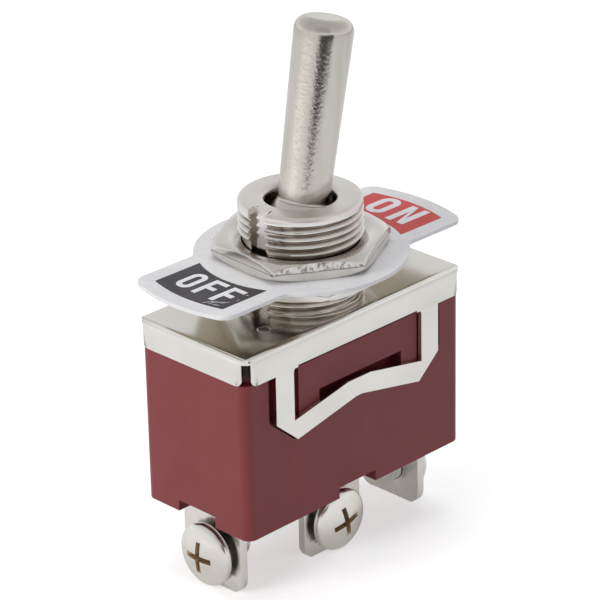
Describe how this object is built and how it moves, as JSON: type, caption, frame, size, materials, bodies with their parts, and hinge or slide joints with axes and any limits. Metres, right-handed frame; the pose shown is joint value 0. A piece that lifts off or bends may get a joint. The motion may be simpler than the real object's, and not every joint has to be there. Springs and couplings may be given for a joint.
{
  "type": "panel toggle switch",
  "caption": "Panel toggle switch with a metal bat lever, threaded bushing with hex nuts, ON/OFF indicator plate, moulded body and screw terminals.",
  "frame": {"origin": "on the bushing's axis, level with the lower edge of the screw terminals", "axes": "+Z along the bushing's axis, out of the body towards the lever; +X along the body, towards the ON side"},
  "size_m": [0.0336, 0.0206, 0.0535],
  "materials": {
    "body_moulding": "moulded phenolic, semi-gloss",
    "plated_sheet": "nickel-plated sheet steel",
    "plated_bushing": "nickel-plated brass, threaded",
    "plated_nut": "nickel-plated steel",
    "white_plate": "white paint, satin",
    "dark_field": "printed, satin",
    "red_field": "printed, satin",
    "plated_lever": "polished nickel plate",
    "steel_pin": "plain steel",
    "nylon": "natural nylon",
    "contact_brass": "stamped brass",
    "contact_rivet": "silver contact rivet",
    "tinned_brass": "tin-plated brass strip",
    "plated_screw": "nickel-plated steel"
  },
  "bodies": {
    "switch_body": {"housing": "body_moulding", "cover_frame": "plated_sheet", "bushing": "plated_bushing", "back_nut": "plated_nut", "front_nut": "plated_nut", "indicator_plate": "white_plate", "off_field": "dark_field", "on_field": "red_field", "rocker_saddle": "contact_brass", "fixed_contact_left": "contact_rivet", "fixed_contact_right": "contact_rivet", "terminal_left": "tinned_brass", "terminal_middle": "tinned_brass", "terminal_right": "tinned_brass", "screw_left": "plated_screw", "screw_middle": "plated_screw", "screw_right": "plated_screw"},
    "toggle": {"lever": "plated_lever", "pivot_pin": "steel_pin", "plunger_spring": "steel_pin"},
    "plunger": {"plunger": "nylon"},
    "rocker": {"rocker": "contact_brass", "rocker_contact_left": "contact_rivet", "rocker_contact_right": "contact_rivet"}
  },
  "joints": [
    {"name": "lever_toggle", "type": "hinge", "parent": "switch_body", "child": "toggle", "pos_m": [0, 0, 0.0336], "axis": [0, 1, 0], "range_deg": [-22, 0]},
    {"name": "plunger_slide", "type": "slide", "parent": "toggle", "child": "plunger", "axis": [0.1908, 0, 0.9816], "range_m": [0, 0.001], "stiffness_N_per_m": 300, "deforming": ["plunger_spring"]},
    {"name": "rocker_tilt", "type": "hinge", "parent": "switch_body", "child": "rocker", "pos_m": [0, 0, 0.0154], "axis": [0, 1, 0], "range_deg": [0, 16]}
  ],
  "couplings": [
    {"joint": "rocker_tilt", "follows": "lever_toggle", "ratio": -0.72727}
  ]
}
